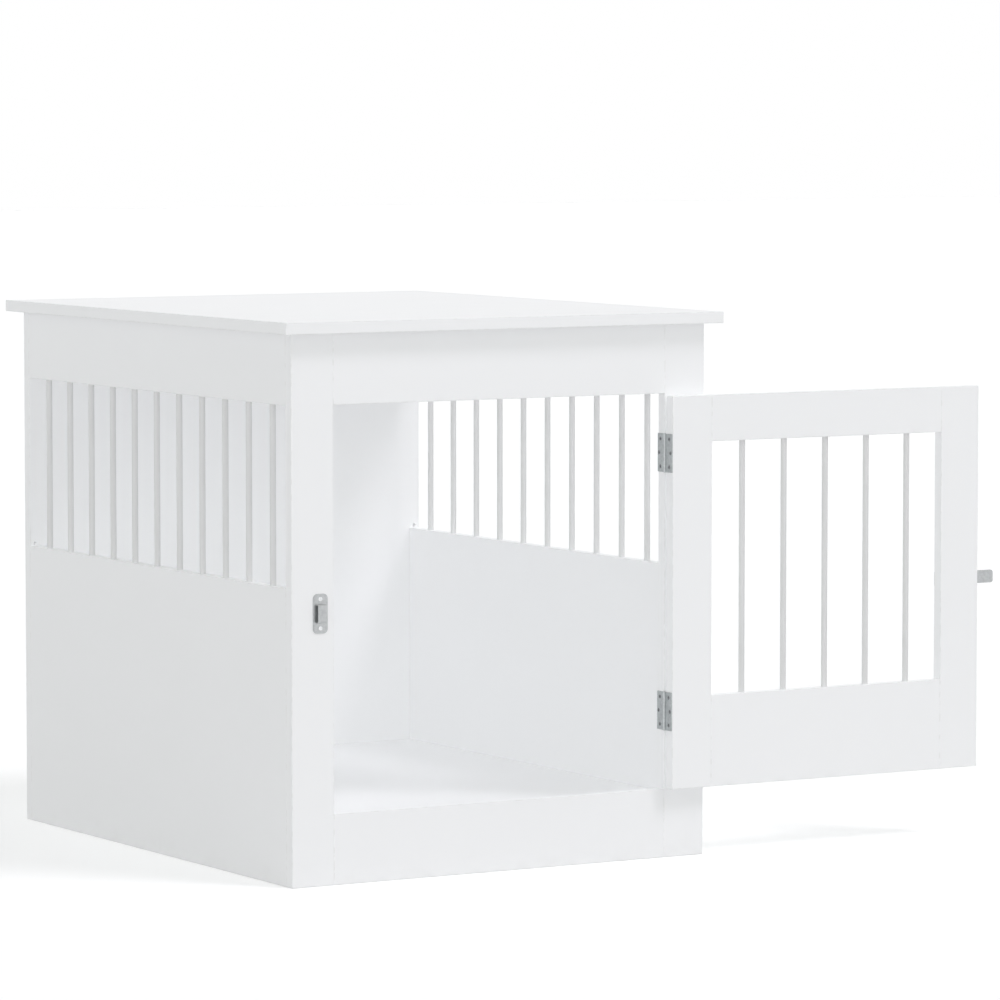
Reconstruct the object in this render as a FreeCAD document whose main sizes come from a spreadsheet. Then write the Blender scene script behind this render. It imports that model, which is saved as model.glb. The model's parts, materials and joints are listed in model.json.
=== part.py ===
import FreeCAD, Part
import operator
import os
import Sketcher
from FreeCAD import Placement, Rotation, Vector

# Dog crate end table: a white board cabinet with barred side windows and a barred front door.
# Millimetres. X runs to the right, Y to the back and Z up; the origin is on the floor, under
# the middle of the cabinet body. The door stands swung right round, flat in front of the
# right stile: its pieces are laid out as if it were shut, then turned about the hinge pins.

SIZES = {
    # Table top and cabinet body
    "table_width": 645,
    "table_depth": 800,
    "table_height": 710,
    "board": 15,
    "top_overhang_side": 17.5,
    "top_overhang_ends": 20,
    "edge_radius": 0.5,
    # Front frame, side boards and floor
    "stile_width": 60,
    "front_rail_top_height": 90,
    "front_rail_bottom_height": 90,
    "side_rail_height": 90,
    "side_panel_height": 376,
    "floor_step": 15,
    # Window bars, glued into blind sockets
    "bar_diameter": 8,
    "bar_clearance": 0.05,
    "bar_socket_depth": 10,
    "bar_end_gap": 0.5,
    "side_bar_count": 11,
    "side_bar_margin": 47,
    "door_bar_count": 5,
    "door_bar_margin": 51.5,
    # Door
    "door_gap_latch": 4,
    "door_gap_top": 3,
    "door_gap_bottom": 1,
    "door_stile_width": 60,
    "door_rail_top_height": 60,
    "door_rail_bottom_height": 120,
    # Butt hinges
    "hinge_height": 50,
    "hinge_below_door_top": 74,
    "hinge_above_door_bottom": 101,
    "leaf_thickness": 1.4,
    "leaf_gap": 0.2,
    "leaf_edge_inset": 0.4,
    "leaf_corner_radius": 0.8,
    "knuckle_radius": 2.4,
    "knuckle_from_face": 0.1,
    "knuckle_count": 5,
    "knuckle_gap": 0.3,
    "pin_radius": 1.2,
    "pin_clearance": 0.05,
    "pin_proud": 0.5,
    "leaf_screw_spacing": 36,
    "leaf_outer_screw_from_edge": 6.6,
    "leaf_middle_screw_from_edge": 3.3,
    # Slide bolt, its plate and its keeper
    "latch_height": 344,
    "strip_thickness": 1.2,
    "bolt_height": 17,
    "bolt_thickness": 2.5,
    "bolt_reach": 37,
    "bolt_travel": 30,
    "bolt_tip_radius": 3.5,
    "slide_gap": 0.3,
    "plate_height": 40,
    "plate_from_door_edge": 1.2,
    "plate_corner_radius": 3,
    "guide_width": 7.5,
    "guide_gap": 0.4,
    "plate_screw_from_end": 8,
    "plate_screw_spacing": 31,
    "knob_radius": 4.5,
    "knob_head_length": 7,
    "knob_neck_radius": 2.5,
    "knob_neck_length": 2.8,
    "knob_shank_radius": 2,
    "knob_from_guide": 0.5,
    "knob_edge_radius": 1.2,
    "keeper_width": 20.5,
    "keeper_height": 50,
    "keeper_from_stile_edge": 19.5,
    "keeper_corner_radius": 6,
    "keeper_gap_over": 1.5,
    "keeper_gap_beside": 2,
    "keeper_loop_width": 12,
    "keeper_screw_spacing": 37,
    "bend_radius": 2,
    # Small screws of the hinges, the keeper and the bolt plate
    "screw_length": 12,
    "screw_radius": 1.5,
    "screw_head_radius": 2.7,
    "screw_clearance": 0.05,
    # Long screws through the back panel
    "back_screw_length": 40,
    "back_screw_radius": 1.75,
    "back_screw_head_radius": 3.6,
    "back_screw_end_distance": 25,
    "floor_screw_spacing": 155,
    # Dowels and cam fittings hidden in the joints
    "dowel_diameter": 8,
    "dowel_in_edge": 20,
    "dowel_in_face": 10,
    "dowel_in_rail": 15,
    "dowel_clearance": 0.05,
    "dowel_end_gap": 0.3,
    "dowel_end_distance": 20,
    "panel_dowel_end_distance": 40,
    "cam_radius": 7.5,
    "cam_backing": 2.5,
    "cam_clearance": 0.2,
    "cam_distance": 34,
    "cam_bolt_radius": 3.4,
    "cam_bolt_hole_radius": 4,
    "cam_thread_radius": 2.5,
    "cam_thread_depth": 10.5,
    "cam_spacing": 500,
    # Small blind holes in the back panel, just above the side panels
    "peg_hole_radius": 2.5,
    "peg_hole_depth": 8,
    "peg_hole_above_panel": 3.5,
}

# How near counts as level with a face, and how straight counts as running along an axis
LEVEL = 0.01
ALONG = 0.999

OPERATIONS = {"+": operator.add, "-": operator.sub, "*": operator.mul, "/": operator.truediv}
# For a face across each axis: the body's own plane, the way that plane's normal points along
# the axis, and the two axes that the sketch's own directions follow.
PLANES = {"X": ("YZ_Plane", 1, (1, 2)), "Y": ("XZ_Plane", -1, (0, 2)), "Z": ("XY_Plane", 1, (0, 1))}
AXES = "XYZ"

document = FreeCAD.newDocument("DogCrateTable")
sheet = document.addObject("Spreadsheet::Sheet", "Sizes")
for row, (name, number) in enumerate(SIZES.items(), start=1):
    sheet.set(f"A{row}", name)
    sheet.set(f"B{row}", str(number))
    sheet.setAlias(f"B{row}", name)
document.recompute()


class Size:
    """A length: the expression that binds it to the sheet, and its value now."""

    def __init__(self, text, value):
        self.text = text
        self.value = value

    def __add__(self, other):
        return combined(self, "+", other)

    def __radd__(self, other):
        return combined(other, "+", self)

    def __sub__(self, other):
        return combined(self, "-", other)

    def __rsub__(self, other):
        return combined(other, "-", self)

    def __mul__(self, other):
        return combined(self, "*", other)

    def __rmul__(self, other):
        return combined(other, "*", self)

    def __truediv__(self, other):
        return combined(self, "/", other)

    def __neg__(self):
        return combined(0, "-", self)


def as_size(number):
    return number if isinstance(number, Size) else Size(str(number), number)


def combined(left, sign, right):
    left, right = as_size(left), as_size(right)
    value = OPERATIONS[sign](left.value, right.value)
    return Size(f"({left.text} {sign} {right.text})", value)


def cell(name):
    return Size(f"Sizes.{name}", SIZES[name])


def bind(target, property_path, size):
    target.setExpression(property_path, as_size(size).text)


def point(*sizes):
    return Vector(*[as_size(size).value for size in sizes])


# Lines that the whole cabinet shares
board = cell("board")
half_width = cell("table_width") / 2 - cell("top_overhang_side")
body_height = cell("table_height") - board
front = cell("top_overhang_ends") - cell("table_depth") / 2
back = -front
inner_front = front + board
inner_back = back - board
opening_right = half_width - cell("stile_width")
opening_left = -opening_right
opening_bottom = cell("front_rail_bottom_height")
opening_top = body_height - cell("front_rail_top_height")
floor_top = opening_bottom - cell("floor_step")
panel_top = cell("side_panel_height")
rail_bottom = body_height - cell("side_rail_height")

# The shut door, and the line of the hinge pins in the middle of its hinge gap, which is as
# wide as the two leaves and the play between them
hinge_gap = 2 * cell("leaf_thickness") + cell("leaf_gap")
door_left = opening_left + cell("door_gap_latch")
door_right = opening_right - hinge_gap
door_bottom = opening_bottom + cell("door_gap_bottom")
door_top = opening_top - cell("door_gap_top")
hinge_x = opening_right - hinge_gap / 2
hinge_y = front - cell("knuckle_radius") - cell("knuckle_from_face")
HALF_TURN = Rotation(Vector(0, 0, 1), 180)

# Each body's own corner, in the layout with the door shut
corners = {}


def place(piece, corner, on_door=False):
    """Puts a piece's own origin at a point of the layout; a door piece also gets the half turn."""
    if on_door:
        corner = (2 * hinge_x - corner[0], 2 * hinge_y - corner[1], corner[2])
        piece.Placement = Placement(Vector(), HALF_TURN)
    for axis, size in zip("xyz", corner):
        bind(piece, f"Placement.Base.{axis}", size)


def new_body(label, corner, on_door=False):
    body = document.addObject("PartDesign::Body", label)
    corners[label] = corner
    place(body, corner, on_door)
    return body


def origin_feature(body, role):
    return next(feature for feature in body.Origin.OriginFeatures if feature.Role == role)


def new_sketch(body, name, normal, level):
    """An empty sketch across one axis of the layout, at that level of it."""
    role, sign, _ = PLANES[normal]
    sketch = body.newObject("Sketcher::SketchObject", f"{body.Name}_{name}")
    sketch.AttachmentSupport = [(origin_feature(body, role), "")]
    sketch.MapMode = "FlatFace"
    bind(sketch, "AttachmentOffset.Base.z", sign * (level - corners[body.Name][AXES.index(normal)]))
    return sketch


def flat(body, normal, place_in_layout):
    """A point's two sketch coordinates, from its place in the layout across the normal axis."""
    across = PLANES[normal][2]
    return [size - corners[body.Name][axis] for size, axis in zip(place_in_layout, across)]


def fix_point(sketch, geometry, which, spot):
    for kind, size in zip(("DistanceX", "DistanceY"), spot):
        size = as_size(size)
        constraint = Sketcher.Constraint(kind, -1, 1, geometry, which, size.value)
        index = sketch.addConstraint(constraint)
        sketch.renameConstraint(index, f"place{index}")
        bind(sketch, f"Constraints.place{index}", size)


def draw_outline(body, name, normal, level, spots):
    """A closed outline of straight lines through these points of the layout."""
    sketch = new_sketch(body, name, normal, level)
    spots = [flat(body, normal, spot) for spot in spots]
    ends = spots[1:] + spots[:1]
    for start, end in zip(spots, ends):
        sketch.addGeometry(Part.LineSegment(point(*start, 0), point(*end, 0)), False)
    for index, start in enumerate(spots):
        following = (index + 1) % len(spots)
        sketch.addConstraint(Sketcher.Constraint("Coincident", index, 2, following, 1))
        fix_point(sketch, index, 1, start)
    return sketch


def draw_circles(body, name, normal, level, centres, radius):
    sketch = new_sketch(body, name, normal, level)
    radius = as_size(radius)
    for centre in centres:
        centre = flat(body, normal, centre)
        circle = Part.Circle(point(*centre, 0), Vector(0, 0, 1), radius.value)
        index = sketch.addGeometry(circle, False)
        fix_point(sketch, index, 3, centre)
        constraint = sketch.addConstraint(Sketcher.Constraint("Radius", index, radius.value))
        sketch.renameConstraint(constraint, f"radius{index}")
        bind(sketch, f"Constraints.radius{index}", radius)
    return sketch


def raise_pad(body, sketch, normal, toward, length):
    """Adds material from the sketch towards the plus (1) or minus (-1) end of the axis."""
    pad = body.newObject("PartDesign::Pad", f"{sketch.Name}_pad")
    pad.Profile = sketch
    pad.Reversed = toward != PLANES[normal][1]
    bind(pad, "Length", length)
    return pad


def sink_pocket(body, sketch, normal, toward, depth):
    """Cuts from the sketch towards the plus (1) or minus (-1) end of the axis."""
    pocket = body.newObject("PartDesign::Pocket", f"{sketch.Name}_pocket")
    pocket.Profile = sketch
    pocket.Reversed = toward == PLANES[normal][1]
    bind(pocket, "Length", depth)
    return pocket


def repeat(body, features, axis, reach, count):
    """Copies features along an axis: count of them, the last one that far from the first."""
    pattern = body.newObject("PartDesign::LinearPattern", f"{features[0].Name}_row")
    pattern.Originals = features
    pattern.Direction = (origin_feature(body, f"{axis}_Axis"), [""])
    bind(pattern, "Length", reach)
    bind(pattern, "Occurrences", count)
    body.Tip = pattern
    return pattern


def edge_names(shape, wanted):
    return [f"Edge{number}" for number, edge in enumerate(shape.Edges, start=1) if wanted(edge)]


def runs_along(edge, axis):
    step = edge.Vertexes[-1].Point - edge.Vertexes[0].Point
    return step.Length > 0 and abs(step[AXES.index(axis)]) > ALONG * step.Length


def round_edges(body, feature, name, wanted, radius):
    document.recompute()
    fillet = body.newObject("PartDesign::Fillet", f"{body.Name}_{name}")
    fillet.Base = (feature, edge_names(feature.Shape, wanted))
    bind(fillet, "Radius", radius)
    return fillet


def make_board(label, low, high, thin, on_door=False):
    """A board with eased edges, drawn on its broad face and padded through its thickness."""
    body = new_body(label, low, on_door)
    across = PLANES[thin][2]
    depth_axis = AXES.index(thin)
    (left, bottom), (right, top) = [[end[axis] for axis in across] for end in (low, high)]
    spots = [(left, bottom), (right, bottom), (right, top), (left, top)]
    sketch = draw_outline(body, "face", thin, low[depth_axis], spots)
    pad = raise_pad(body, sketch, thin, 1, high[depth_axis] - low[depth_axis])
    round_edges(body, pad, "eased", lambda edge: True, cell("edge_radius"))
    return body


def drill(body, name, normal, toward, level, centres, radius, depth):
    sketch = draw_circles(body, name, normal, level, centres, radius)
    return sink_pocket(body, sketch, normal, toward, depth)


def countersink(body, name, normal, toward, level, centres, radius, head_radius):
    """Through holes for countersunk screws whose heads lie at that level."""
    sketch = draw_circles(body, name, normal, level, centres, radius)
    document.recompute()
    hole = body.newObject("PartDesign::Hole", f"{sketch.Name}_hole")
    hole.Profile = sketch
    hole.DepthType = "ThroughAll"
    hole.HoleCutType = "Countersink"
    hole.HoleCutCountersinkAngle = 90
    hole.Reversed = toward == PLANES[normal][1]
    bind(hole, "Diameter", 2 * radius)
    bind(hole, "HoleCutDiameter", 2 * head_radius)
    return hole


def rod(label, radius, foot, length, on_door=False):
    cylinder = document.addObject("Part::Cylinder", label)
    bind(cylinder, "Radius", radius)
    bind(cylinder, "Height", length)
    place(cylinder, foot, on_door)
    return cylinder


def spread(first, step, count):
    return [first + number * step for number in range(count)]


# Dowel rows, cam fittings and screw rows, named once for the boards that share them
dowel_hole = cell("dowel_diameter") / 2 + cell("dowel_clearance")
edge_hole_depth = cell("dowel_in_edge") + cell("dowel_end_gap")
face_hole_depth = cell("dowel_in_face") + cell("dowel_end_gap")
rail_hole_depth = cell("dowel_in_rail") + cell("dowel_end_gap")
dowel_end = cell("dowel_end_distance")
panel_dowel_end = cell("panel_dowel_end_distance")
front_rail_dowels = [
    dowel_end,
    opening_bottom - dowel_end,
    opening_top + dowel_end,
    body_height - dowel_end,
]
door_rail_tops = (door_bottom + cell("door_rail_bottom_height"), door_top)
door_rail_bottoms = (door_bottom, door_top - cell("door_rail_top_height"))
door_rail_dowels = [
    height
    for low, high in zip(door_rail_bottoms, door_rail_tops)
    for height in (low + dowel_end, high - dowel_end)
]
panel_dowels = [panel_dowel_end, panel_top - panel_dowel_end]
side_rail_dowels = [rail_bottom + dowel_end, body_height - dowel_end]
panel_cam_height = panel_top / 2
cam_rows = [-cell("cam_spacing") / 2, cell("cam_spacing") / 2]
floor_middle = floor_top - board / 2
screw_hole = cell("screw_radius") + cell("screw_clearance")
screw_sink = cell("screw_head_radius") + cell("screw_clearance")
back_screw_hole = cell("back_screw_radius") + cell("screw_clearance")
back_screw_bite = cell("back_screw_length") - board
screw_end = cell("back_screw_end_distance")
cam_depth = board - cell("cam_backing")
panel_back_screws = [screw_end, panel_top / 2, panel_top - screw_end]
rail_back_screws = [rail_bottom + screw_end, body_height - screw_end]
floor_screw_columns = spread(-cell("floor_screw_spacing"), cell("floor_screw_spacing"), 3)

# Sides: for each, the sign of its X, its board's low face and its board's middle
SIDES = {"left": -1, "right": 1}
side_low = {"left": -half_width, "right": half_width - board}
side_middle = {side: side_low[side] + board / 2 for side in SIDES}
side_inner = {side: sign * (half_width - board) for side, sign in SIDES.items()}
stile_inner = {side: sign * opening_right for side, sign in SIDES.items()}

# Table top: one slab that overhangs the body all round
tabletop = make_board(
    "tabletop",
    (-cell("table_width") / 2, front - cell("top_overhang_ends"), body_height),
    (cell("table_width") / 2, back + cell("top_overhang_ends"), cell("table_height")),
    "Z",
)
top_cam_spots = [(side_middle[side], row) for side in SIDES for row in cam_rows]
drill(
    tabletop, "cam_threads", "Z", 1, body_height, top_cam_spots,
    cell("cam_thread_radius"), cell("cam_thread_depth"),
)

# Back panel: full width, screwed from behind to the side boards and the floor
back_panel = make_board(
    "back_panel", (-half_width, inner_back, 0), (half_width, back, body_height), "Y"
)
side_screw_spots = [
    (side_middle[side], height) for side in SIDES for height in panel_back_screws + rail_back_screws
]
floor_screw_spots = [(column, floor_middle) for column in floor_screw_columns]
back_screw_spots = side_screw_spots + floor_screw_spots
countersink(
    back_panel, "screw_holes", "Y", -1, back, back_screw_spots,
    back_screw_hole, cell("back_screw_head_radius") + cell("screw_clearance"),
)
peg_spots = [(side_middle[side], panel_top + cell("peg_hole_above_panel")) for side in SIDES]
drill(
    back_panel, "peg_holes", "Y", 1, inner_back, peg_spots,
    cell("peg_hole_radius"), cell("peg_hole_depth"),
)

# Floor: a board between the sides, pulled to them by cams from below
floor_panel = make_board(
    "floor_panel",
    (board - half_width, inner_front, floor_top - board),
    (half_width - board, inner_back, floor_top),
    "Z",
)
for side, sign in SIDES.items():
    drill(
        floor_panel, f"cam_bolts_{side}", "X", -sign, side_inner[side],
        [(row, floor_middle) for row in cam_rows],
        cell("cam_bolt_hole_radius"), cell("cam_distance"),
    )
floor_cam_spots = [
    (side_inner[side] - sign * cell("cam_distance"), row)
    for side, sign in SIDES.items()
    for row in cam_rows
]
drill(
    floor_panel, "cams", "Z", 1, floor_top - board, floor_cam_spots,
    cell("cam_radius"), cam_depth,
)
drill(
    floor_panel, "back_pilots", "Y", -1, inner_back, floor_screw_spots,
    back_screw_hole, back_screw_bite,
)

# Side boards: a rail above and a panel below each window, with a row of bars between them.
# The bars stand in blind sockets, evenly spaced between the front frame and the back panel.
bar_radius = cell("bar_diameter") / 2
bar_socket = bar_radius + cell("bar_clearance")
bar_foot = panel_top - cell("bar_socket_depth")
bar_length = rail_bottom + cell("bar_socket_depth") - cell("bar_end_gap") - bar_foot
first_bar = inner_front + cell("side_bar_margin")
bar_row = inner_back - cell("side_bar_margin") - first_bar
bar_step = bar_row / (cell("side_bar_count") - 1)


def make_side_board(side, kind, low, high, dowel_heights, screw_heights, socket_level, toward):
    """A side rail or panel, with its row of bar sockets and the holes in its two end edges."""
    middle = side_middle[side]
    body = make_board(
        f"side_{kind}_{side}",
        (side_low[side], inner_front, low),
        (side_low[side] + board, inner_back, high),
        "X",
    )
    socket = drill(
        body, "bar_socket", "Z", toward, socket_level, [(middle, first_bar)],
        bar_socket, cell("bar_socket_depth"),
    )
    repeat(body, [socket], "Y", bar_row, cell("side_bar_count"))
    drill(
        body, "front_dowels", "Y", 1, inner_front, [(middle, height) for height in dowel_heights],
        dowel_hole, edge_hole_depth,
    )
    drill(
        body, "back_pilots", "Y", -1, inner_back, [(middle, height) for height in screw_heights],
        back_screw_hole, back_screw_bite,
    )
    return body


for side, sign in SIDES.items():
    middle = side_middle[side]
    rail = make_side_board(
        side, "rail", rail_bottom, body_height, side_rail_dowels, rail_back_screws, rail_bottom, 1
    )
    drill(
        rail, "cam_bolts", "Z", -1, body_height, [(middle, row) for row in cam_rows],
        cell("cam_bolt_hole_radius"), cell("cam_distance"),
    )
    drill(
        rail, "cams", "X", sign, side_inner[side],
        [(row, body_height - cell("cam_distance")) for row in cam_rows],
        cell("cam_radius"), cam_depth,
    )
    panel = make_side_board(
        side, "panel", as_size(0), panel_top, panel_dowels, panel_back_screws, panel_top, -1
    )
    drill(
        panel, "cam_bolt", "Y", 1, inner_front, [(middle, panel_cam_height)],
        cell("cam_bolt_hole_radius"), cell("cam_distance"),
    )
    drill(
        panel, "cam", "X", sign, side_inner[side],
        [(inner_front + cell("cam_distance"), panel_cam_height)],
        cell("cam_radius"), cam_depth,
    )
    drill(
        panel, "floor_threads", "X", sign, side_inner[side],
        [(row, floor_middle) for row in cam_rows],
        cell("cam_thread_radius"), cell("cam_thread_depth"),
    )
    for number, bar_y in enumerate(spread(first_bar, bar_step, SIZES["side_bar_count"]), start=1):
        rod(f"{side}_bar_{number:02d}", bar_radius, (middle, bar_y, bar_foot), bar_length)

# Where the small screws go: hinge leaves on the stile's inner edge and the door's hinge edge,
# the keeper on the left stile, and the bolt plate on the door's latch stile
hinge_middles = {
    "upper": door_top - cell("hinge_below_door_top"),
    "lower": door_bottom + cell("hinge_above_door_bottom"),
}
leaf_end = inner_front - cell("leaf_edge_inset")
outer_screw_y = leaf_end - cell("leaf_outer_screw_from_edge")
middle_screw_y = leaf_end - cell("leaf_middle_screw_from_edge")
leaf_spots = {
    place_name: [
        (outer_screw_y, middle - cell("leaf_screw_spacing") / 2),
        (middle_screw_y, middle),
        (outer_screw_y, middle + cell("leaf_screw_spacing") / 2),
    ]
    for place_name, middle in hinge_middles.items()
}
all_leaf_spots = leaf_spots["upper"] + leaf_spots["lower"]
latch_z = cell("latch_height")
keeper_x = opening_left - cell("keeper_from_stile_edge")
keeper_spots = [
    (keeper_x, latch_z + sign * cell("keeper_screw_spacing") / 2) for sign in (-1, 1)
]
plate_left = door_left + cell("plate_from_door_edge")
plate_length = cell("bolt_travel") + 2 * (
    cell("guide_width") + cell("knob_from_guide") + cell("knob_radius")
)
plate_right = plate_left + plate_length
plate_spots = [
    (column, latch_z + sign * cell("plate_screw_spacing") / 2)
    for column in (
        plate_left + cell("plate_screw_from_end"),
        plate_right - cell("plate_screw_from_end"),
    )
    for sign in (-1, 1)
]
pilot_depth = cell("screw_length")

# Front frame: two full-height stiles with a rail between them above and below the doorway
for side, sign in SIDES.items():
    outer = sign * half_width
    ends = (outer, stile_inner[side]) if side == "left" else (stile_inner[side], outer)
    stile = make_board(
        f"front_stile_{side}", (ends[0], front, 0), (ends[1], inner_front, body_height), "Y"
    )
    drill(
        stile, "rail_dowels", "X", sign, stile_inner[side],
        [(front + board / 2, height) for height in front_rail_dowels],
        dowel_hole, rail_hole_depth,
    )
    drill(
        stile, "side_dowels", "Y", -1, inner_front,
        [(side_middle[side], height) for height in panel_dowels + side_rail_dowels],
        dowel_hole, face_hole_depth,
    )
    drill(
        stile, "cam_thread", "Y", -1, inner_front, [(side_middle[side], panel_cam_height)],
        cell("cam_thread_radius"), cell("cam_thread_depth"),
    )
    if side == "left":
        drill(stile, "keeper_pilots", "Y", 1, front, keeper_spots, screw_hole, pilot_depth)
    else:
        drill(stile, "hinge_pilots", "X", 1, opening_right, all_leaf_spots, screw_hole, pilot_depth)

for kind, low, high in (("bottom", 0, opening_bottom), ("top", opening_top, body_height)):
    rail = make_board(
        f"front_rail_{kind}",
        (opening_left, front, as_size(low)),
        (opening_right, inner_front, high),
        "Y",
    )
    heights = front_rail_dowels[:2] if kind == "bottom" else front_rail_dowels[2:]
    for side, sign in SIDES.items():
        drill(
            rail, f"dowels_{side}", "X", -sign, stile_inner[side],
            [(front + board / 2, height) for height in heights],
            dowel_hole, rail_hole_depth,
        )

# Door: two full-height stiles, two rails and a row of bars in the window between them
window_left = door_left + cell("door_stile_width")
window_right = door_right - cell("door_stile_width")
window_bottom = door_rail_tops[0]
window_top = door_rail_bottoms[1]
door_middle_y = front + board / 2
first_door_bar = window_left + cell("door_bar_margin")
door_bar_row = window_right - cell("door_bar_margin") - first_door_bar
door_bar_step = door_bar_row / (cell("door_bar_count") - 1)

for kind, left, right, inner, outward in (
    ("latch", door_left, window_left, window_left, -1),
    ("hinge", window_right, door_right, window_right, 1),
):
    stile = make_board(
        f"door_stile_{kind}",
        (left, front, door_bottom),
        (right, inner_front, door_top),
        "Y",
        on_door=True,
    )
    drill(
        stile, "rail_dowels", "X", outward, inner,
        [(door_middle_y, height) for height in door_rail_dowels],
        dowel_hole, rail_hole_depth,
    )
    if kind == "latch":
        drill(stile, "plate_pilots", "Y", 1, front, plate_spots, screw_hole, pilot_depth)
    else:
        drill(stile, "hinge_pilots", "X", -1, door_right, all_leaf_spots, screw_hole, pilot_depth)

for index, (kind, socket_level, toward) in enumerate(
    (("bottom", window_bottom, -1), ("top", window_top, 1))
):
    rail = make_board(
        f"door_rail_{kind}",
        (window_left, front, door_rail_bottoms[index]),
        (window_right, inner_front, door_rail_tops[index]),
        "Y",
        on_door=True,
    )
    socket = drill(
        rail, "bar_socket", "Z", toward, socket_level, [(first_door_bar, door_middle_y)],
        bar_socket, cell("bar_socket_depth"),
    )
    repeat(rail, [socket], "X", door_bar_row, cell("door_bar_count"))
    for end, edge, inward in (("latch", window_left, 1), ("hinge", window_right, -1)):
        drill(
            rail, f"dowels_{end}", "X", inward, edge,
            [(door_middle_y, height) for height in door_rail_dowels[2 * index:2 * index + 2]],
            dowel_hole, rail_hole_depth,
        )

door_bar_foot = window_bottom - cell("bar_socket_depth")
door_bar_length = window_top + cell("bar_socket_depth") - cell("bar_end_gap") - door_bar_foot
door_bar_columns = spread(first_door_bar, door_bar_step, SIZES["door_bar_count"])
for number, bar_x in enumerate(door_bar_columns, start=1):
    foot = (bar_x, door_middle_y, door_bar_foot)
    rod(f"door_bar_{number}", bar_radius, foot, door_bar_length, on_door=True)

# Butt hinges: each leaf is a strip with its own share of the knuckles curled round the pin.
# The frame leaf has the end knuckles and the middle one, the door leaf the two between.
half_gap = hinge_gap / 2
knuckle_pitch = cell("hinge_height") / cell("knuckle_count")
knuckle_length = knuckle_pitch - cell("knuckle_gap")
leaf_start = hinge_y + cell("knuckle_radius") + cell("knuckle_gap")
neck_start = hinge_y + (cell("knuckle_radius") + cell("pin_radius")) / 2


def make_leaf(label, bottom, spots, sign, first_knuckle, knuckles, on_door):
    body = new_body(label, (hinge_x, hinge_y, bottom), on_door)
    inner = hinge_x + sign * (half_gap - cell("leaf_thickness"))
    outer = hinge_x + sign * half_gap
    strip = draw_outline(
        body, "strip", "Z", bottom,
        [(inner, leaf_start), (outer, leaf_start), (outer, leaf_end), (inner, leaf_end)],
    )
    strip_pad = raise_pad(body, strip, "Z", 1, cell("hinge_height"))
    document.recompute()
    far_y = strip_pad.Shape.BoundBox.YMax
    round_edges(
        body, strip_pad, "corners",
        lambda edge: runs_along(edge, "X") and edge.BoundBox.YMin > far_y - LEVEL,
        cell("leaf_corner_radius"),
    )
    level = bottom + first_knuckle * knuckle_pitch + cell("knuckle_gap") / 2
    neck_end = leaf_start + cell("leaf_thickness")
    neck = draw_outline(
        body, "neck", "Z", level,
        [(inner, neck_start), (outer, neck_start), (outer, neck_end), (inner, neck_end)],
    )
    neck_pad = raise_pad(body, neck, "Z", 1, knuckle_length)
    barrel = draw_circles(body, "barrel", "Z", level, [(hinge_x, hinge_y)], cell("knuckle_radius"))
    barrel_pad = raise_pad(body, barrel, "Z", 1, knuckle_length)
    repeat(body, [neck_pad, barrel_pad], "Z", 2 * knuckle_pitch * (knuckles - 1), knuckles)
    drill(
        body, "pin_bore", "Z", 1, bottom, [(hinge_x, hinge_y)],
        cell("pin_radius") + cell("pin_clearance"), cell("hinge_height"),
    )
    countersink(body, "screw_holes", "X", sign, inner, spots, screw_hole, screw_sink)


for place_name, middle in hinge_middles.items():
    bottom = middle - cell("hinge_height") / 2
    spots = leaf_spots[place_name]
    make_leaf(f"hinge_{place_name}_frame_leaf", bottom, spots, 1, 0, 3, False)
    make_leaf(f"hinge_{place_name}_door_leaf", bottom, spots, -1, 1, 2, True)
    rod(
        f"hinge_{place_name}_pin",
        cell("pin_radius"),
        (hinge_x, hinge_y, bottom - cell("pin_proud")),
        cell("hinge_height") + 2 * cell("pin_proud"),
    )

# Keeper: a strip screwed to the left stile, with a loop that the slide bolt runs into
strip = cell("strip_thickness")


def draw_bridge(body, name, level, inner_half, inner_depth):
    """The outline of a bridge of bent strip over a bolt, seen along X."""
    outer_half = inner_half + strip
    inner_y = front - inner_depth
    outer_y = inner_y - strip
    spots = [
        (front, latch_z - outer_half),
        (outer_y, latch_z - outer_half),
        (outer_y, latch_z + outer_half),
        (front, latch_z + outer_half),
        (front, latch_z + inner_half),
        (inner_y, latch_z + inner_half),
        (inner_y, latch_z - inner_half),
        (front, latch_z - inner_half),
    ]
    return draw_outline(body, name, "X", level, spots)


def make_plate(label, left, width, height, corner_radius, on_door=False):
    """A flat strip-metal plate on the front face, rounded at its four corners."""
    body = new_body(label, (left, front, latch_z), on_door)
    right = left + width
    low, high = latch_z - height / 2, latch_z + height / 2
    outline = draw_outline(
        body, "plate", "Y", front, [(left, low), (right, low), (right, high), (left, high)]
    )
    pad = raise_pad(body, outline, "Y", -1, strip)
    round_edges(body, pad, "corners", lambda edge: runs_along(edge, "Y"), corner_radius)
    return body


def soften_bends(body, feature, depth):
    """Rounds the bridges' outer bends, the edges along X that stand furthest forward."""
    document.recompute()
    limit = LEVEL - depth.value
    round_edges(
        body, feature, "bends",
        lambda edge: runs_along(edge, "X") and edge.BoundBox.YMax < limit,
        cell("bend_radius"),
    )


keeper = make_plate(
    "bolt_keeper",
    keeper_x - cell("keeper_width") / 2,
    cell("keeper_width"),
    cell("keeper_height"),
    cell("keeper_corner_radius"),
)
bolt_half = cell("bolt_height") / 2
bolt_back = strip + cell("slide_gap")
bolt_front = bolt_back + cell("bolt_thickness")
tunnel_top = bolt_front + cell("keeper_gap_over")
loop_sketch = draw_bridge(
    keeper, "loop", keeper_x - cell("keeper_loop_width") / 2,
    bolt_half + cell("keeper_gap_beside"), tunnel_top,
)
loop_pad = raise_pad(keeper, loop_sketch, "X", 1, cell("keeper_loop_width"))
soften_bends(keeper, loop_pad, tunnel_top + strip)
countersink(keeper, "screw_holes", "Y", 1, front - strip, keeper_spots, screw_hole, screw_sink)

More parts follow.
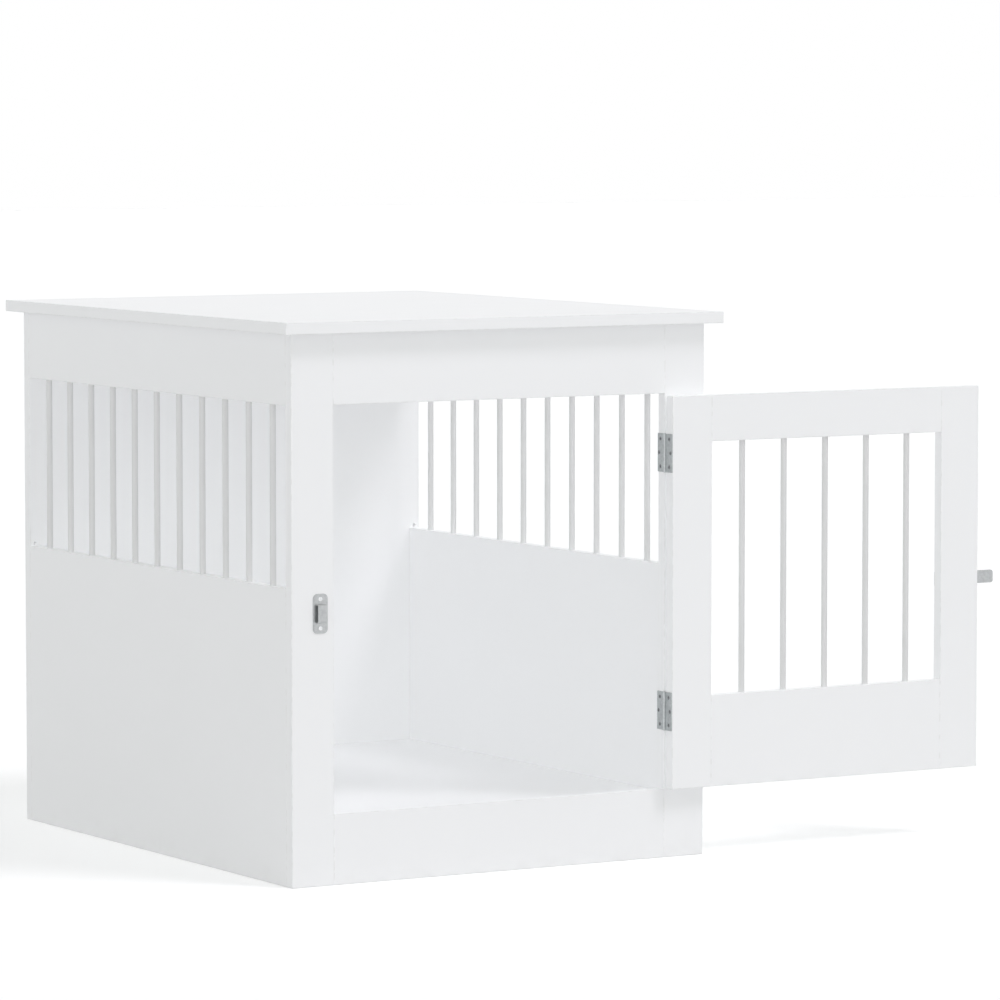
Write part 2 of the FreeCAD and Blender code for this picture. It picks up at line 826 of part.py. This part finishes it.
# Bolt plate: screwed to the door's latch stile, with a guide bridge at each end
guide_inner = bolt_front + cell("slide_gap")
bolt_plate = make_plate(
    "bolt_plate",
    plate_left,
    plate_length,
    cell("plate_height"),
    cell("plate_corner_radius"),
    on_door=True,
)
guide_sketch = draw_bridge(
    bolt_plate, "guide", plate_left, bolt_half + cell("guide_gap"), guide_inner
)
guide_pad = raise_pad(bolt_plate, guide_sketch, "X", 1, cell("guide_width"))
guide_row = repeat(bolt_plate, [guide_pad], "X", plate_length - cell("guide_width"), 2)
soften_bends(bolt_plate, guide_row, guide_inner + strip)
countersink(bolt_plate, "screw_holes", "Y", 1, front - strip, plate_spots, screw_hole, screw_sink)

# Slide bolt: a flat bar with a rounded tip, which runs in the guides past the door's edge
bolt_tip = door_left - cell("bolt_reach")
knob_x = plate_left + cell("guide_width") + cell("knob_from_guide") + cell("knob_radius")
slide_bolt = new_body("slide_bolt", (bolt_tip, front - bolt_front, latch_z), on_door=True)
bar_outline = draw_outline(
    slide_bolt, "bar", "Y", front - bolt_front,
    [
        (bolt_tip, latch_z - bolt_half),
        (plate_right, latch_z - bolt_half),
        (plate_right, latch_z + bolt_half),
        (bolt_tip, latch_z + bolt_half),
    ],
)
bar_pad = raise_pad(slide_bolt, bar_outline, "Y", 1, cell("bolt_thickness"))
round_edges(
    slide_bolt, bar_pad, "tip",
    lambda edge: runs_along(edge, "Y") and edge.BoundBox.XMax < LEVEL,
    cell("bolt_tip_radius"),
)
drill(
    slide_bolt, "knob_hole", "Y", 1, front - bolt_front, [(knob_x, latch_z)],
    cell("knob_shank_radius") + cell("pin_clearance"), cell("bolt_thickness"),
)

# Knob: turned in one piece, its shank riveted into the bolt
knob = new_body("bolt_knob", (knob_x, front - bolt_front, latch_z), on_door=True)
shank_end = front - bolt_back
collar = front - bolt_front
head_start = collar - cell("knob_neck_length")
head_end = head_start - cell("knob_head_length")
profile = draw_outline(
    knob, "profile", "Z", latch_z,
    [
        (knob_x, shank_end),
        (knob_x + cell("knob_shank_radius"), shank_end),
        (knob_x + cell("knob_shank_radius"), collar),
        (knob_x + cell("knob_neck_radius"), collar),
        (knob_x + cell("knob_neck_radius"), head_start),
        (knob_x + cell("knob_radius"), head_start),
        (knob_x + cell("knob_radius"), head_end),
        (knob_x, head_end),
    ],
)
turning = knob.newObject("PartDesign::Revolution", "bolt_knob_turning")
turning.Profile = profile
turning.ReferenceAxis = (profile, ["V_Axis"])
turning.Angle = 360
document.recompute()
head_width = 2 * SIZES["knob_radius"]
round_edges(
    knob, turning, "head",
    lambda edge: edge.BoundBox.ZLength > head_width - LEVEL and edge.BoundBox.YLength < LEVEL,
    cell("knob_edge_radius"),
)


def lathe(profile):
    """A solid turned about Z from its half outline of radius and height."""
    spots = [Vector(radius, 0, height) for radius, height in profile]
    face = Part.Face(Part.makePolygon(spots + spots[:1]))
    return face.revolve(Vector(), Vector(0, 0, 1), 360)


def make_cross(length, width, depth):
    """A cross recess for a driver, centred on the origin and going up Z."""
    bars = [
        Part.makeBox(x_size, y_size, depth, Vector(-x_size / 2, -y_size / 2, 0))
        for x_size, y_size in ((length, width), (width, length))
    ]
    return bars[0].fuse(bars[1])


def make_screw(radius, head_radius, length):
    """A countersunk cross-head screw, its head at the origin and its tip up Z."""
    taper = head_radius - radius
    tip = 2 * radius
    screw = lathe(
        [(0, 0), (head_radius, 0), (radius, taper), (radius, length - tip), (0, length)]
    )
    return screw.cut(make_cross(1.2 * head_radius, 0.3 * head_radius, 0.8 * taper))


def make_dowel(radius, length):
    """A fluted dowel's plain body with chamfered ends, standing on the origin."""
    chamfer = radius / 4
    return lathe(
        [
            (0, 0),
            (radius - chamfer, 0),
            (radius, chamfer),
            (radius, length - chamfer),
            (radius - chamfer, length),
            (0, length),
        ]
    )


def make_cam_bolt():
    """A cam bolt: its thread goes down Z into the one board, its stem up into the other."""
    thread = SIZES["cam_thread_radius"] - SIZES["screw_clearance"]
    stem = SIZES["cam_bolt_radius"]
    depth = SIZES["cam_thread_depth"] - SIZES["dowel_end_gap"]
    reach = SIZES["cam_distance"]
    return lathe([(0, -depth), (thread, -depth), (thread, 0), (stem, 0), (stem, reach), (0, reach)])


def make_cam_lock():
    """A cam: its driver face is at the origin, it goes up Z, and the bolt enters from plus X."""
    radius = SIZES["cam_radius"] - SIZES["cam_clearance"]
    depth = cam_depth.value - SIZES["cam_clearance"]
    mouth = SIZES["cam_bolt_hole_radius"]
    corner = Vector(-mouth, -mouth, board.value / 2 - mouth)
    mouth_box = Part.makeBox(2 * radius, 2 * mouth, 2 * mouth, corner)
    recess = make_cross(radius, radius / 6, radius / 5)
    return Part.makeCylinder(radius, depth).cut(mouth_box.fuse(recess))


def group(label, solids, on_door=False):
    """One sub-part made of identical separate pieces, laid out with the door shut."""
    feature = document.addObject("Part::Feature", label)
    feature.Shape = Part.makeCompound(solids)
    if on_door:
        feature.Placement = Placement(point(2 * hinge_x, 2 * hinge_y, 0), HALF_TURN)
    return feature


def set_at(solid, spot, direction, facing=None):
    """A copy of the solid at a spot, with its Z along direction and its X towards facing."""
    turned = Rotation(Vector(0, 0, 1), direction)
    if facing is not None:
        turned = Rotation(facing, Vector(), direction, "ZXY")
    copy = solid.copy()
    copy.Placement = Placement(spot, turned)
    return copy


RIGHT, BACK, UP = Vector(1, 0, 0), Vector(0, 1, 0), Vector(0, 0, 1)

# Small countersunk screws of the hinges, the keeper and the bolt plate
small_screw = make_screw(SIZES["screw_radius"], SIZES["screw_head_radius"], SIZES["screw_length"])
frame_leaf_face = opening_right - cell("leaf_thickness")
door_leaf_face = door_right + cell("leaf_thickness")
frame_screws = [set_at(small_screw, point(frame_leaf_face, *spot), RIGHT) for spot in all_leaf_spots]
frame_screws += [set_at(small_screw, point(x, front - strip, z), BACK) for x, z in keeper_spots]
group("frame_screws", frame_screws)
door_screws = [set_at(small_screw, point(door_leaf_face, *spot), -RIGHT) for spot in all_leaf_spots]
door_screws += [set_at(small_screw, point(x, front - strip, z), BACK) for x, z in plate_spots]
group("door_screws", door_screws, on_door=True)

# Long screws through the back panel
long_screw = make_screw(
    SIZES["back_screw_radius"], SIZES["back_screw_head_radius"], SIZES["back_screw_length"]
)
group("back_screws", [set_at(long_screw, point(x, back, z), -BACK) for x, z in back_screw_spots])

# Dowels: through the front frame's and the door's corners, and between sides and stiles
dowel_radius = SIZES["dowel_diameter"] / 2
rail_dowel = make_dowel(dowel_radius, 2 * SIZES["dowel_in_rail"])
side_dowel = make_dowel(dowel_radius, SIZES["dowel_in_face"] + SIZES["dowel_in_edge"])
dowels = []
for side, sign in SIDES.items():
    foot = stile_inner[side] - sign * cell("dowel_in_rail")
    for height in front_rail_dowels:
        dowels.append(set_at(rail_dowel, point(foot, front + board / 2, height), sign * RIGHT))
    for height in panel_dowels + side_rail_dowels:
        foot_y = inner_front - cell("dowel_in_face")
        dowels.append(set_at(side_dowel, point(side_middle[side], foot_y, height), BACK))
group("frame_dowels", dowels)
door_dowels = [
    set_at(rail_dowel, point(edge - cell("dowel_in_rail"), door_middle_y, height), RIGHT)
    for edge in (window_left, window_right)
    for height in door_rail_dowels
]
group("door_dowels", door_dowels, on_door=True)

# Cam fittings: top to side rails, floor to side panels, and side panels to front stiles
cam_bolt = make_cam_bolt()
cam_lock = make_cam_lock()
cam_bolts = []
cam_locks = []
for side, sign in SIDES.items():
    inner = side_inner[side]
    outward = sign * RIGHT
    for row in cam_rows:
        cam_bolts.append(set_at(cam_bolt, point(side_middle[side], row, body_height), -UP))
        spot = point(inner, row, body_height - cell("cam_distance"))
        cam_locks.append(set_at(cam_lock, spot, outward, UP))
        cam_bolts.append(set_at(cam_bolt, point(inner, row, floor_middle), -outward))
        spot = point(inner - sign * cell("cam_distance"), row, floor_top - board)
        cam_locks.append(set_at(cam_lock, spot, UP, outward))
    cam_bolts.append(set_at(cam_bolt, point(side_middle[side], inner_front, panel_cam_height), BACK))
    spot = point(inner, inner_front + cell("cam_distance"), panel_cam_height)
    cam_locks.append(set_at(cam_lock, spot, outward, -BACK))
group("cam_bolts", cam_bolts)
group("cam_locks", cam_locks)

# Every object has to be up to date and every sub-part a sound solid before its file is written
document.recompute()
failed = [item.Name for item in document.Objects if {"Invalid", "Error"} & set(item.State)]
if failed:
    raise RuntimeError(f"these objects failed: {failed}")
SUBPART_TYPES = ("PartDesign::Body", "Part::Cylinder", "Part::Feature")
subparts = [item for item in document.Objects if item.TypeId in SUBPART_TYPES]
for subpart in subparts:
    if subpart.Shape.isNull() or not subpart.Shape.isValid() or not subpart.Shape.Solids:
        raise RuntimeError(f"{subpart.Label} has no sound solid")
os.makedirs("parts", exist_ok=True)
for subpart in subparts:
    subpart.Shape.exportStep(f"parts/{subpart.Label}.step")
print(f"{len(subparts)} sub-parts written")
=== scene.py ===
import json
import math

import bmesh
import bpy
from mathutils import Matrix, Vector


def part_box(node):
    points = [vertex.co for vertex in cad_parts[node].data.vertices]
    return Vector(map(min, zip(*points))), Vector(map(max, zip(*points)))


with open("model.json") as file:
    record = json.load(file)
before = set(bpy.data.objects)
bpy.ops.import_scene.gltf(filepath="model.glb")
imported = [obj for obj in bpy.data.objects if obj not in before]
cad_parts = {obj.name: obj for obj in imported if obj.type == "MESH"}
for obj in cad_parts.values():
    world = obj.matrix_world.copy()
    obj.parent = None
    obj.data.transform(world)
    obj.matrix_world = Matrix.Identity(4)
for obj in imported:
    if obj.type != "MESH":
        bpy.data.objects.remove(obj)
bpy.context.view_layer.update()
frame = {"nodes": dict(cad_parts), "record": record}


# Boards: engineered wood, 15 mm thick, faced on both sides with satin white melamine and closed
# at the edges with thin white banding. They are cut square, drilled and joined with dowels and
# cams, and their edges are eased, so that each joint shows as a hairline.
class Wire:
    """One value that runs through a finish's nodes; sums and products of wires add their nodes."""

    def __init__(self, finish, socket):
        self.finish = finish
        self.socket = socket

    def maths(self, operation, first, second):
        return self.finish.node("Math", {"operation": operation}, {0: first, 1: second})

    def __add__(self, other):
        return self.maths("ADD", self, other)

    def __radd__(self, other):
        return self.maths("ADD", other, self)

    def __sub__(self, other):
        return self.maths("SUBTRACT", self, other)

    def __rsub__(self, other):
        return self.maths("SUBTRACT", other, self)

    def __mul__(self, other):
        return self.maths("MULTIPLY", self, other)

    def __rmul__(self, other):
        return self.maths("MULTIPLY", other, self)

    def nearer(self, other):
        return self.maths("MINIMUM", self, other)

    def further(self, other):
        return self.maths("MAXIMUM", self, other)

    def ramp(self, low, high, start=0.0, end=1.0):
        """A smooth rise from start to end as the value goes from low to high."""
        return self.finish.node(
            "MapRange",
            {"interpolation_type": "SMOOTHSTEP"},
            {"Value": self, "From Min": low, "From Max": high, "To Min": start, "To Max": end},
        )


class Finish:
    """The nodes of one surface, which its material holds, or of the sky, which the world holds."""

    def __init__(self, holder):
        self.holder = holder
        holder.use_nodes = True
        holder.node_tree.nodes.clear()

    def node(self, kind, settings=None, sockets=None, output=0):
        tree = self.holder.node_tree
        made = tree.nodes.new("ShaderNode" + kind)
        for name, value in (settings or {}).items():
            setattr(made, name, value)
        for name, value in (sockets or {}).items():
            if isinstance(value, Wire):
                tree.links.new(value.socket, made.inputs[name])
            else:
                made.inputs[name].default_value = value
        return Wire(self, made.outputs[output]) if made.outputs else None

    def place(self):
        """Where a point of the piece is at rest, in metres; it goes with the piece as it moves."""
        return self.node("TexCoord", output="Object")

    def stretched(self, place, x, y, z):
        """The place with its axes scaled; a grain drawn on it runs along the small ones."""
        return self.node("VectorMath", {"operation": "MULTIPLY"}, {0: place, 1: (x, y, z)})

    def noise(self, place, size, detail=2.0, roughness=0.5):
        """Soft blotches about this many metres across, from 0 to 1."""
        sockets = {"Vector": place, "Scale": 1 / size, "Detail": detail, "Roughness": roughness}
        return self.node("TexNoise", {}, sockets)

    def blend(self, share, first, second):
        """The first colour where the share is 0, and the second where it is 1."""
        return self.node("Mix", {"data_type": "RGBA"}, {0: share, 6: first, 7: second}, output=2)

    def relief(self, height, depth, strength=1.0, over=None):
        """A bump as deep as this many metres where the height goes from 0 to 1."""
        sockets = {"Height": height, "Distance": depth, "Strength": strength}
        if over is not None:
            sockets["Normal"] = over
        return self.node("Bump", {}, sockets)

    def surface(self, **sockets):
        """Closes the finish with one shader; underscores in names stand for spaces."""
        named = {name.replace("_", " "): value for name, value in sockets.items()}
        self.node("OutputMaterial", {}, {"Surface": self.node("BsdfPrincipled", {}, named)})
        return self.holder


def coat(nodes, material):
    """Gives CAD nodes a material in place of the plain one that they came with."""
    for name in nodes:
        materials = frame["nodes"][name].data.materials
        materials.clear()
        materials.append(material)


def nodes_of(slot):
    return [part["node"] for part in frame["record"]["subparts"] if part["material_slot"] == slot]


MELAMINE = (0.896, 0.90, 0.905, 1)
MELAMINE_DRIFT = (0.882, 0.886, 0.89, 1)
RUBBED = (0.70, 0.69, 0.67, 1)
DRIFT_SIZE = 0.25
RUBBED_FULLY = 0.0002
RUBBED_AT_ALL = 0.0016
RUB_PATCH_SIZE = 0.009
SCUFF_HEIGHT = 0.04
SCUFF_SIZE = 0.03
BAND_THICKNESS = 0.0008
BAND_LINE_CORE = 0.00004
BAND_LINE_EDGE = 0.00012
BAND_LINE_DEPTH = 0.00005
PEARL_SIZE = 0.0005
PEARL_DEPTH = 0.00001
PEEL_SIZE = 0.004
PEEL_DEPTH = 0.00004
SMUDGE_SIZE = 0.07


def board_finish(name):
    """White melamine: a fine pearl texture, smudges in its gloss, and rubbed edges."""
    finish = Finish(bpy.data.materials.new(name + "_melamine"))
    place = finish.place()
    low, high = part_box(name)
    x, y, z = [finish.node("SeparateXYZ", {}, {0: place}, output=axis) for axis in "XYZ"]
    faces = zip((x, y, z), low, high)
    first, second, third = [(here - start).nearer(end - here) for here, start, end in faces]
    # The nearest edge is as far off as the second nearest pair of faces.
    to_edge = first.nearer(second).further(first.further(second).nearer(third))

    patches = finish.noise(place, RUB_PATCH_SIZE, detail=3)
    rubbed = to_edge.ramp(RUBBED_FULLY, RUBBED_AT_ALL, 1, 0) * patches.ramp(0.46, 0.62)
    scuffs = finish.noise(place, SCUFF_SIZE, detail=4)
    scuffed = z.ramp(0, SCUFF_HEIGHT, 1, 0) * scuffs.ramp(0.45, 0.7)
    from_line = (to_edge - BAND_THICKNESS).further(BAND_THICKNESS - to_edge)
    band_line = from_line.ramp(BAND_LINE_CORE, BAND_LINE_EDGE, 1, 0)

    drift = finish.noise(place, DRIFT_SIZE)
    colour = finish.blend(drift.ramp(0.3, 0.7, 0, 0.25), MELAMINE, MELAMINE_DRIFT)
    colour = finish.blend(rubbed * 0.3 + scuffed * 0.08 + band_line * 0.12, colour, RUBBED)

    bump = finish.relief(finish.noise(place, PEARL_SIZE, detail=1), PEARL_DEPTH, 0.5)
    bump = finish.relief(finish.noise(place, PEEL_SIZE), PEEL_DEPTH, 0.35, over=bump)
    bump = finish.relief(1 - band_line, BAND_LINE_DEPTH, 0.6, over=bump)

    smudges = finish.noise(place, SMUDGE_SIZE, detail=5, roughness=0.6)
    gloss = smudges.ramp(0.35, 0.7, 0.5, 0.58) - rubbed * 0.08 + scuffed * 0.1
    return finish.surface(
        Base_Color=colour, Roughness=gloss, Specular_IOR_Level=0.2, Normal=bump
    )


for board in nodes_of("white_board"):
    coat([board], board_finish(board))


# Dowels: bare beech, turned to size and pushed into the ends and faces of the boards, where
# they are hidden. Fine grain runs along them, with short dark flecks.
BEECH = (0.56, 0.37, 0.21, 1)
BEECH_LATE = (0.42, 0.26, 0.14, 1)
GRAIN_SIZE = 0.0008
GRAIN_DEPTH = 0.00004
FLECK_SIZE = 0.0014

beech = Finish(bpy.data.materials.new("beech_dowels"))
place = beech.place()
grain = beech.noise(beech.stretched(place, 0.12, 0.12, 1), GRAIN_SIZE, detail=3)
fleck = beech.noise(beech.stretched(place, 0.3, 0.3, 1), FLECK_SIZE, detail=1)
late = grain.ramp(0.35, 0.7) * 0.7 + fleck.ramp(0.6, 0.7) * 0.3
coat(
    nodes_of("beech_dowel"),
    beech.surface(
        Base_Color=beech.blend(late, BEECH, BEECH_LATE),
        Roughness=grain.ramp(0.3, 0.7, 0.6, 0.75),
        Normal=beech.relief(grain, GRAIN_DEPTH, 0.5),
    ),
)


# Cams and their bolts: die-cast zinc, tumbled until it is evenly grey. A cam in a round pocket
# turns and pulls the head of the bolt that is screwed into the next board.
CAM_ZINC = (0.40, 0.41, 0.42, 1)
CAM_DULL = (0.30, 0.31, 0.32, 1)
DUST_AND_SHADE = (0.40, 0.405, 0.40, 1)
CLOUD_SIZE = 0.004
LINE_SIZE = 0.0006
SPECK_SIZE = 0.0009
PLATING_DEPTH = 0.00002


def plated(name, bright, dull, grain, smooth):
    """Grey zinc: cloudy, lined along the grain's smallest axis; dust and painted shade on top."""
    finish = Finish(bpy.data.materials.new(name))
    place = finish.place()
    cloud = finish.noise(place, CLOUD_SIZE, detail=4, roughness=0.6)
    lines = finish.noise(finish.stretched(place, *grain), LINE_SIZE)
    speck = finish.noise(place, SPECK_SIZE, detail=1)
    colour = finish.blend(cloud.ramp(0.35, 0.7), bright, dull)
    rough = smooth + cloud.ramp(0.3, 0.7, 0, 0.14) + lines * 0.06
    bump = finish.relief(lines, PLATING_DEPTH, 0.5)
    bump = finish.relief(speck, PLATING_DEPTH, 0.3, over=bump)
    # Dust and painted shade: faces turned up lose their shine and go dull grey, which darkens the
    # tops.
    facing = finish.node("NewGeometry", output="True Normal")
    dust_and_shade = finish.node("SeparateXYZ", {}, {0: facing}, output="Z").ramp(0.5, 0.95)
    return finish.surface(
        Base_Color=finish.blend(dust_and_shade, colour, DUST_AND_SHADE),
        Metallic=1 - dust_and_shade,
        Roughness=rough + dust_and_shade * 0.4,
        Specular_IOR_Level=0.2,
        Normal=bump,
    )


coat(nodes_of("cam_zinc"), plated("cast_zinc", CAM_ZINC, CAM_DULL, (1, 1, 1), 0.4))


# Bars of the windows and the door: round rods, pushed into blind sockets in the boards above and
# below them. Their pale powder coat has a slight orange peel and clouds of dust.
BAR_COAT = (0.70, 0.70, 0.70, 1)
BAR_DUST = (0.64, 0.64, 0.64, 1)
BAR_PEEL_SIZE = 0.0011
BAR_PEEL_DEPTH = 0.00003
BAR_CLOUD_SIZE = 0.012

bars = Finish(bpy.data.materials.new("bar_powder_coat"))
place = bars.place()
peel = bars.noise(place, BAR_PEEL_SIZE)
cloud = bars.noise(bars.stretched(place, 1, 1, 0.15), BAR_CLOUD_SIZE, detail=3)
coat(
    nodes_of("bar_coating"),
    bars.surface(
        Base_Color=bars.blend(cloud.ramp(0.4, 0.75, 0, 0.3), BAR_COAT, BAR_DUST),
        Roughness=cloud.ramp(0.3, 0.7, 0.3, 0.42),
        Specular_IOR_Level=0.5,
        Normal=bars.relief(peel, BAR_PEEL_DEPTH, 0.5),
    ),
)


# Hinges: leaves pressed from zinc-plated steel strip and curled round a steel pin. The plating
# is dull and clouded, with the rolling lines of the strip under it.
HINGE_ZINC = (0.50, 0.525, 0.53, 1)
HINGE_DULL = (0.43, 0.45, 0.455, 1)
coat(nodes_of("hinge_steel"), plated("hinge_zinc", HINGE_ZINC, HINGE_DULL, (1, 1, 0.04), 0.32))


# Keeper, slide bolt and its plate: bent steel strip with a brighter plating, screwed on flat.
# The knob is turned and riveted into the bolt.
LATCH_ZINC = (0.53, 0.545, 0.55, 1)
LATCH_DULL = (0.46, 0.47, 0.48, 1)
coat(nodes_of("latch_steel"), plated("latch_zinc", LATCH_ZINC, LATCH_DULL, (1, 1, 0.05), 0.28))


# Screws: countersunk and cross-headed, with heads level with the metal or the board. The latch's
# and the back's are bright zinc; those of the hinges are painted dark grey, as painted shade that
# stands for the shade in their countersinks.
SCREW_BRIGHT = (0.86, 0.87, 0.88, 1)
SCREW_DULL = (0.70, 0.71, 0.72, 1)
HINGE_SCREW_SHADE_LIGHT = (0.31, 0.32, 0.325, 1)
HINGE_SCREW_SHADE_DARK = (0.23, 0.24, 0.245, 1)
SCREW_CLOUD_SIZE = 0.002
SCREW_DEPTH = 0.00002
HINGES_FROM_X = (0.20, 0.21)
HINGES_TO_X = (0.28, 0.29)

screws = Finish(bpy.data.materials.new("screw_zinc"))
place = screws.place()
across = screws.node("SeparateXYZ", {}, {0: place}, output="X")
# Painted shade: screws between these two places across are given the dark grey of a shaded
# countersink.
shade_at_hinges = across.ramp(*HINGES_FROM_X) * across.ramp(*HINGES_TO_X, 1, 0)
cloud = screws.noise(place, SCREW_CLOUD_SIZE, detail=3)
clouded = cloud.ramp(0.4, 0.7)
bright = screws.blend(clouded, SCREW_BRIGHT, SCREW_DULL)
hinge_screw_shade = screws.blend(clouded, HINGE_SCREW_SHADE_LIGHT, HINGE_SCREW_SHADE_DARK)
coat(
    nodes_of("screw_steel"),
    screws.surface(
        Base_Color=screws.blend(shade_at_hinges, bright, hinge_screw_shade),
        Metallic=1.0,
        Roughness=cloud.ramp(0.3, 0.7, 0.22, 0.34),
        Normal=screws.relief(cloud, SCREW_DEPTH, 0.4),
    ),
)


# Studio: a pale floor under a sky that is brighter low down, a soft key lamp high in front to the
# right, and broad fills in front to the left and behind to the right, for light from a white room.
# Rays that the camera sees, and those in metal, find plain white; the rest light the object.
SKY_LIGHT = 0.715
SKY_AT_HORIZON = 1.35
SKY_FALL = 0.85
SKY_TINT = (0.985, 1.0, 0.99, 1)
WHITE = (1, 1, 1, 1)
FLOOR_PALE = (0.58, 0.58, 0.58, 1)
FLOOR_SEEN = (0.9, 0.9, 0.9, 1)
FLOOR_GLOW = 0.17
FLOOR_REACH = 30
FLOOR_DROP = 0.0002
LAMPS = (
    # name, where it shines from, how much light it adds to a face turned to it, its width in
    # degrees, whether it casts shadows, whether gloss shows it, its tint
    ("key_lamp", (0.378, -0.488, 0.787), 0.257, 18.5, True, False, (0.975, 0.95, 1.0)),
    ("front_fill", (-0.58, -0.62, 0.53), 0.293, 60, False, True, (0.98, 0.985, 1.0)),
    ("inner_fill", (0.7, 0.7, 0.02), 0.285, 60, False, False, (0.98, 0.99, 1.0)),
    ("back_fill", (0.72, 0.69, 0.03), 0.10, 60, True, False, (0.98, 0.99, 1.0)),
)


def seen(finish):
    """1 for rays from the camera, from gloss and through clear things, otherwise 0."""
    ways = ("Is Camera Ray", "Is Glossy Ray", "Is Transmission Ray")
    camera, gloss, clear = [finish.node("LightPath", output=way) for way in ways]
    return camera.further(gloss).further(clear)


sky = Finish(bpy.data.worlds.new("sky"))
height = sky.node("SeparateXYZ", {}, {0: sky.node("TexCoord", output="Generated")}, output="Z")
strength = SKY_LIGHT * (SKY_AT_HORIZON - SKY_FALL * height.further(0))
light = sky.node("Background", {}, {"Color": SKY_TINT, "Strength": strength})
white = sky.node("Background", {}, {"Color": WHITE})
shown = sky.node("MixShader", {}, {0: seen(sky), 1: light, 2: white})
sky.node("OutputWorld", {}, {"Surface": shown})
bpy.context.scene.world = sky.holder

pale = Finish(bpy.data.materials.new("floor_pale"))
plain = pale.node("BsdfDiffuse", {}, {"Color": FLOOR_PALE})
bright = pale.node("BsdfDiffuse", {}, {"Color": FLOOR_SEEN})
glow = pale.node("Emission", {}, {"Color": WHITE, "Strength": FLOOR_GLOW})
lit = pale.node("AddShader", {}, {0: bright, 1: glow})
shown = pale.node("MixShader", {}, {0: seen(pale), 1: plain, 2: lit})
pale.node("OutputMaterial", {}, {"Surface": shown})

mesh = bpy.data.meshes.new("floor")
ground = bmesh.new()
bmesh.ops.create_grid(ground, x_segments=1, y_segments=1, size=FLOOR_REACH)
ground.to_mesh(mesh)
ground.free()
mesh.materials.append(pale.holder)
floor = bpy.data.objects.new("floor", mesh)
floor.location.z = -FLOOR_DROP
bpy.context.scene.collection.objects.link(floor)

for name, towards, level, width, shadows, gloss, tint in LAMPS:
    lamp = bpy.data.lights.new(name, "SUN")
    lamp.energy = math.pi * level
    lamp.angle = math.radians(width)
    lamp.use_shadow = shadows
    lamp.cycles.use_multiple_importance_sampling = shadows
    lamp.color = tint
    hung = bpy.data.objects.new(name, lamp)
    hung.visible_glossy = gloss
    hung.rotation_mode = "QUATERNION"
    hung.rotation_quaternion = Vector(towards).to_track_quat("Z", "Y")
    bpy.context.scene.collection.objects.link(hung)


# Camera: a long lens, 7.4 m off in front to the left and a little above the table top,
# tilted slightly down.
CAMERA_PLACE = Vector((-3.6142, -6.4729, 1.0245))
CAMERA_TURN = math.radians(-30.656)
CAMERA_DIP = math.radians(4.4255)
CAMERA_LENS = 200.89
CAMERA_FILM = 36
CAMERA_REACH = 200

optics = bpy.data.cameras.new("camera")
optics.lens = CAMERA_LENS
optics.sensor_width = CAMERA_FILM
optics.clip_end = CAMERA_REACH
camera = bpy.data.objects.new("camera", optics)
camera.location = CAMERA_PLACE
camera.rotation_euler = (math.radians(90) - CAMERA_DIP, 0, CAMERA_TURN)
bpy.context.scene.collection.objects.link(camera)
bpy.context.scene.camera = camera
bpy.context.scene.view_settings.view_transform = "Standard"
